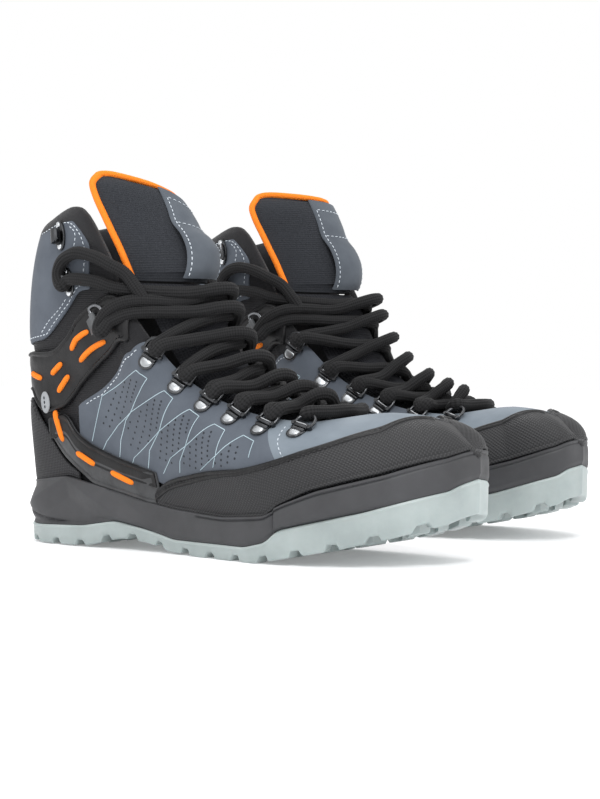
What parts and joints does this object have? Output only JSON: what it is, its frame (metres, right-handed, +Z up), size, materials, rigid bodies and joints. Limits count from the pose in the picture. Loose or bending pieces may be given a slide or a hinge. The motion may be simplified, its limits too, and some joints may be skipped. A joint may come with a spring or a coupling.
{
  "type": "hiking boots",
  "caption": "Pair of mid-cut lace-up hiking boots in slate nubuck and black, with orange cord trim and lugged grey-green soles.",
  "frame": {"origin": "On the ground, at the middle of the pair's outline seen from above", "axes": "toes point along -Y, +Z is up, and +X runs from the right boot to the left boot"},
  "size_m": [0.2874, 0.3229, 0.2256],
  "materials": {
    "grey_green_rubber": "moulded rubber",
    "charcoal_foam": "moulded foam with a rubbery skin",
    "steel": "bare",
    "board": "fibre board",
    "footbed_foam": "foam with a knitted cover",
    "black_textile": "knitted lining",
    "foam": "open foam",
    "black_mesh": "woven mesh",
    "slate_nubuck": "nubuck",
    "black_rubber": "matte rand rubber",
    "charcoal_leather": "smooth, matte",
    "black_leather": "smooth",
    "orange_cord": "woven cord and piping",
    "badge_plastic": "moulded",
    "bright_steel": "nickel-plated wire",
    "gunmetal": "dark nickel",
    "tongue_textile": "ribbed textile",
    "lace_cord": "round braid"
  },
  "bodies": {
    "right_boot": {"right_outsole": "grey_green_rubber", "right_midsole": "charcoal_foam", "right_shank": "steel", "right_insole_board": "board", "right_footbed": "footbed_foam", "right_lining": "black_textile", "right_collar_foam": "foam", "right_base_mesh": "black_mesh", "right_vamp": "slate_nubuck", "right_quarter_outer": "slate_nubuck", "right_quarter_inner": "slate_nubuck", "right_cuff": "slate_nubuck", "right_toe_rand": "black_rubber", "right_heel_cup": "charcoal_leather", "right_ankle_strap": "black_leather", "right_arch_straps": "black_leather", "right_strap_cord": "orange_cord", "right_heel_badge": "badge_plastic", "right_strap_ring_outer": "bright_steel", "right_strap_ring_inner": "bright_steel", "right_tongue_base": "black_mesh", "right_eyelet_plates": "gunmetal", "right_d_rings": "gunmetal", "right_cuff_hooks": "gunmetal", "right_lace": "lace_cord"},
    "left_boot": {"left_outsole": "grey_green_rubber", "left_midsole": "charcoal_foam", "left_shank": "steel", "left_insole_board": "board", "left_footbed": "footbed_foam", "left_lining": "black_textile", "left_collar_foam": "foam", "left_base_mesh": "black_mesh", "left_vamp": "slate_nubuck", "left_quarter_outer": "slate_nubuck", "left_quarter_inner": "slate_nubuck", "left_cuff": "slate_nubuck", "left_toe_rand": "black_rubber", "left_heel_cup": "charcoal_leather", "left_ankle_strap": "black_leather", "left_arch_straps": "black_leather", "left_strap_cord": "orange_cord", "left_heel_badge": "badge_plastic", "left_strap_ring_outer": "bright_steel", "left_strap_ring_inner": "bright_steel", "left_tongue_base": "black_mesh", "left_eyelet_plates": "gunmetal", "left_d_rings": "gunmetal", "left_cuff_hooks": "gunmetal", "left_lace": "lace_cord"},
    "right_tongue_top": {"right_tongue_flap": "tongue_textile", "right_tongue_piping": "orange_cord", "right_tongue_pull": "slate_nubuck"},
    "left_tongue_top": {"left_tongue_flap": "tongue_textile", "left_tongue_piping": "orange_cord", "left_tongue_pull": "slate_nubuck"}
  },
  "joints": [
    {"name": "left_boot_slide", "type": "slide", "parent": "right_boot", "child": "left_boot", "axis": [1, 0, 0], "range_m": [0, 0.2]},
    {"name": "right_tongue_hinge", "type": "hinge", "parent": "right_boot", "child": "right_tongue_top", "pos_m": [-0.0905, 0.01603, 0.158], "axis": [1, 0, 0], "range_deg": [0, 35]},
    {"name": "left_tongue_hinge", "type": "hinge", "parent": "left_boot", "child": "left_tongue_top", "pos_m": [0.0905, 0.03303, 0.158], "axis": [1, 0, 0], "range_deg": [0, 35]}
  ]
}
